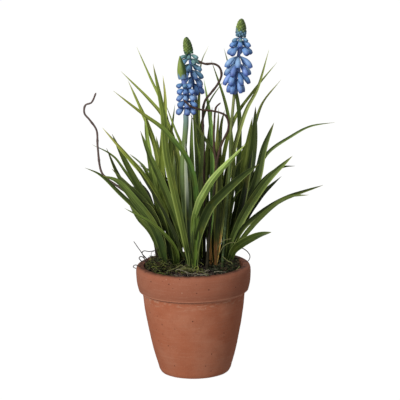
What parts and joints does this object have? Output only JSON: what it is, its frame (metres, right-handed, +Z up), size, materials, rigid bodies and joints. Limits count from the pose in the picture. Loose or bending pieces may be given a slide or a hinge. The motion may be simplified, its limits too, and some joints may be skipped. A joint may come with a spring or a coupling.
{
  "type": "potted grape hyacinth",
  "caption": "Grape hyacinths with blue flower spikes and long arching leaves in a terracotta pot of soil.",
  "frame": {"origin": "centre of the pot's flat base, on the surface that the pot stands on", "axes": "+Z up along the pot's axis; -Y towards the front of the display; +X to the right as seen from the front"},
  "size_m": [0.1948, 0.1132, 0.2768],
  "materials": {
    "terracotta": "unglazed fired clay, dusty matt",
    "soil": "dark loose potting soil",
    "moss": "fine dry moss",
    "leaf": "satin green with fine lengthwise ribs",
    "stem": "satin green",
    "floret": "satin powder blue",
    "bud": "satin green",
    "twig": "dark bare bark"
  },
  "bodies": {
    "root": {"pot": "terracotta", "soil": "soil", "moss_left": "moss", "moss_right": "moss", "leaves_front": "leaf", "leaves_mid_left": "leaf", "leaves_left": "leaf", "leaves_left_back": "leaf", "leaves_back_left": "leaf", "leaves_back": "leaf", "leaves_centre": "leaf", "leaves_right": "leaf", "leaves_right_back": "leaf", "stem_right": "stem", "stem_back": "stem", "stem_front": "stem", "florets_right": "floret", "florets_back": "floret", "florets_front": "floret", "tip_right": "bud", "tip_back": "bud", "tip_front": "bud", "twig_left": "twig", "twig_centre": "twig", "twig_loop": "twig"}
  },
  "joints": []
}
